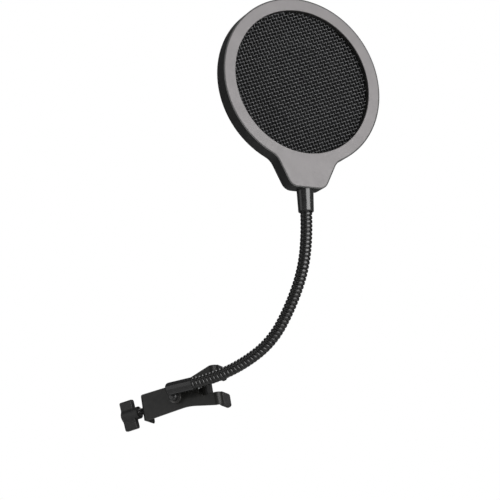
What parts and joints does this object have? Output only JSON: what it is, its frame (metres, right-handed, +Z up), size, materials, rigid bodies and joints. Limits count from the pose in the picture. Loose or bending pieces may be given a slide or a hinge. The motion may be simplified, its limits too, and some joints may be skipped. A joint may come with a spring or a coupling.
{
  "type": "pop filter",
  "caption": "Round woven-wire pop filter in a flat grey ring with a tapered tail, on a bendable ribbed neck, held by a small screw clamp with a forked jaw.",
  "frame": {"origin": "centre of the clamp's jaw gap, on the clamp screw's axis", "axes": "+X along the clamp screw from its knob to the fixed fingers, +Y away from the bracket's spine into the jaw's depth, +Z up"},
  "size_m": [0.2345, 0.1055, 0.2587],
  "materials": {
    "black_steel": "black satin coat",
    "bright_steel": "zinc plated",
    "soft_rubber": "matt",
    "black_screw": "black oxide",
    "knob_plastic": "fine grain",
    "ferrule_black": "black semi-gloss",
    "gooseneck_steel": "black semi-gloss",
    "brass_insert": "turned",
    "frame_plastic": "fine grain",
    "grey_face": "satin grey coat",
    "woven_wire": "black coated wire",
    "spacer_plastic": "matt",
    "black_foam": "open-cell foam"
  },
  "bodies": {
    "bracket": {"clamp_bracket": "black_steel", "upper_finger_cap": "soft_rubber", "lower_finger_cap": "soft_rubber", "clamp_nut": "bright_steel", "foot_washer": "black_screw"},
    "jaw": {"moving_jaw": "black_steel", "jaw_pad": "soft_rubber", "screw_clip": "bright_steel"},
    "screw": {"clamp_screw": "black_screw", "knob": "knob_plastic"},
    "foot": {"foot_ferrule": "ferrule_black", "foot_screw": "black_screw", "neck_link_1": "gooseneck_steel"},
    "neck_2": {"neck_link_2": "gooseneck_steel"},
    "neck_3": {"neck_link_3": "gooseneck_steel"},
    "neck_4": {"neck_link_4": "gooseneck_steel"},
    "neck_5": {"neck_link_5": "gooseneck_steel"},
    "head": {"neck_link_6": "gooseneck_steel", "head_ferrule": "ferrule_black", "neck_socket": "brass_insert", "front_frame": "frame_plastic", "rear_frame": "frame_plastic", "face_ring": "grey_face", "front_screen": "woven_wire", "rear_screen": "woven_wire", "screen_spacer": "spacer_plastic", "foam_layer": "black_foam", "frame_screws": "black_screw"}
  },
  "joints": [
    {"name": "jaw_slide", "type": "slide", "parent": "bracket", "child": "jaw", "axis": [1, 0, 0], "range_m": [-0.0398, 0.005]},
    {"name": "screw_turn", "type": "hinge", "parent": "jaw", "child": "screw", "pos_m": [0, 0, 0], "axis": [1, 0, 0], "range_deg": [-17955, 2295]},
    {"name": "foot_swivel", "type": "hinge", "parent": "bracket", "child": "foot", "pos_m": [-0.02685, -0.0154, -0.0004], "axis": [0, -1, 0], "range_deg": [-45, 60]},
    {"name": "neck_bend_1", "type": "hinge", "parent": "foot", "child": "neck_2", "pos_m": [0.01961, -0.01554, 0.00255], "axis": [0.005, 0.9981, 0.0606], "range_deg": [-20, 20]},
    {"name": "neck_bend_2", "type": "hinge", "parent": "neck_2", "child": "neck_3", "pos_m": [0.04541, -0.01602, 0.00826], "axis": [-0.3339, -0.0555, 0.941], "range_deg": [-20, 20]},
    {"name": "neck_bend_3", "type": "hinge", "parent": "neck_3", "child": "neck_4", "pos_m": [0.06754, -0.01699, 0.02238], "axis": [0.005, 0.9981, 0.0606], "range_deg": [-20, 20]},
    {"name": "neck_bend_4", "type": "hinge", "parent": "neck_4", "child": "neck_5", "pos_m": [0.08432, -0.01831, 0.04281], "axis": [-0.8252, -0.0301, 0.5641], "range_deg": [-20, 20]},
    {"name": "neck_bend_5", "type": "hinge", "parent": "neck_5", "child": "head", "pos_m": [0.0961, -0.0198, 0.0664], "axis": [0.005, 0.9981, 0.0606], "range_deg": [-20, 20]}
  ],
  "couplings": [
    {"joint": "screw_turn", "follows": "jaw_slide", "rad_per_m": 7854}
  ]
}
